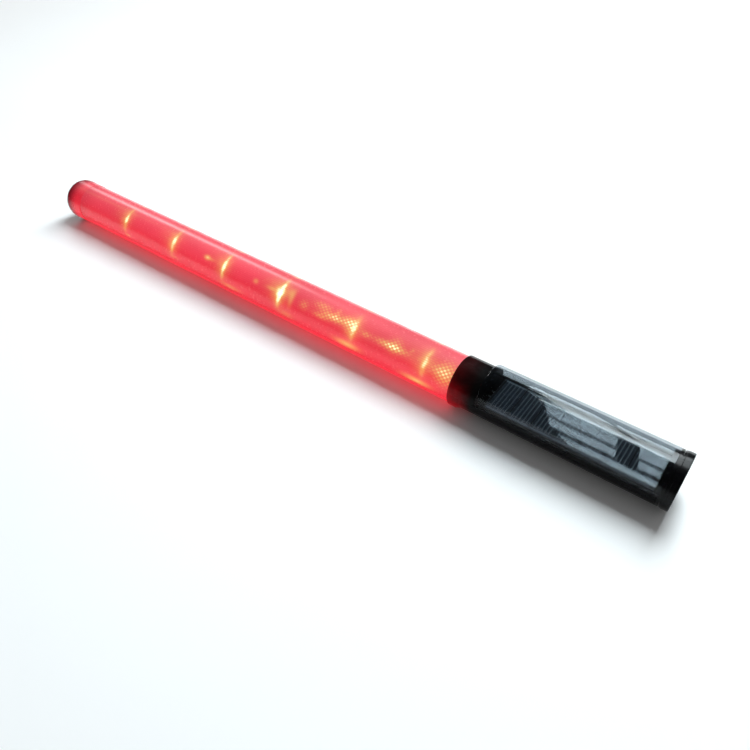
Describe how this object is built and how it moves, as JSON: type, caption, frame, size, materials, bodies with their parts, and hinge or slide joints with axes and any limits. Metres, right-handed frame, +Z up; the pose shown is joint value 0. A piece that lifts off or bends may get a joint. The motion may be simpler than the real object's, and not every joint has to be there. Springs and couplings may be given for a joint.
{
  "type": "traffic baton light",
  "caption": "Lit traffic baton: ribbed clear red tube with a domed tip, black collar, and a solar handle with a smoke cover, push button and screw cap.",
  "frame": {"origin": "centre of the bounding box in plan, on the ground it lies on", "axes": "+X along the baton from the domed tip to the screw cap, +Z up, square to the solar panel, +Y across"},
  "size_m": [0.54, 0.0358, 0.0373],
  "materials": {
    "tip_red": "clear red, glossy",
    "tube_red": "clear red with fine ribs inside, glossy",
    "board_white": "white solder mask",
    "led_red": "clear red lens",
    "part_black": "moulded black",
    "holder_white": "moulded white",
    "collar_black": "black, glossy",
    "seal_rubber": "black, satin",
    "screw_steel": "zinc plated",
    "cover_smoke": "smoke clear, polished",
    "shell_black": "black, glossy",
    "frame_black": "black, satin",
    "panel_board": "dark laminate",
    "cell_silicon": "dark blue silicon with silver fingers",
    "film_clear": "clear laminate",
    "wire_insulation": "black satin insulation",
    "board_green": "green solder mask",
    "plunger_white": "moulded white",
    "button_black": "black, satin",
    "cell_can": "blue shrink wrap",
    "contact_steel": "nickel plated",
    "ring_black": "black, glossy",
    "cap_black": "black, glossy"
  },
  "bodies": {
    "baton": {"back_leds": "led_red", "battery_cell": "cell_can", "battery_cradle": "frame_black", "battery_plus_cap": "contact_steel", "battery_spring": "contact_steel", "board_parts": "part_black", "board_screws": "screw_steel", "cell_wires": "wire_insulation", "collar": "collar_black", "collar_board_holder": "holder_white", "control_board": "board_green", "front_leds": "led_red", "inner_frame": "frame_black", "led_board": "board_white", "led_resistors": "part_black", "led_wires": "wire_insulation", "light_tube": "tube_red", "minus_contact": "contact_steel", "neck_screws": "screw_steel", "neck_seal": "seal_rubber", "panel_base": "panel_board", "panel_film": "film_clear", "panel_wires": "wire_insulation", "rear_shell": "shell_black", "shell_screws": "screw_steel", "side_contact": "contact_steel", "solar_cells": "cell_silicon", "tact_switch": "part_black", "thread_ring": "ring_black", "tip_board_holder": "holder_white", "tip_cap": "tip_red", "window_cover": "cover_smoke"},
    "button": {"switch_button": "button_black", "switch_plunger": "plunger_white"},
    "cap_seal": {"end_cap_seal": "seal_rubber"},
    "screw_cap": {"cap_contact": "contact_steel", "end_cap": "cap_black"}
  },
  "joints": [
    {"name": "button_press", "type": "slide", "parent": "baton", "child": "button", "axis": [0, 0, 1], "range_m": [0, 0.0012], "stiffness_N_per_m": 400},
    {"name": "end_cap_travel", "type": "slide", "parent": "baton", "child": "cap_seal", "axis": [1, 0, 0], "range_m": [0, 0.00601]},
    {"name": "end_cap_turn", "type": "hinge", "parent": "cap_seal", "child": "screw_cap", "pos_m": [0.27, 0, 0.01945], "axis": [1, 0, 0], "range_deg": [0, 1440]}
  ],
  "couplings": [
    {"joint": "end_cap_travel", "follows": "end_cap_turn", "m_per_rad": 0.00023873}
  ]
}
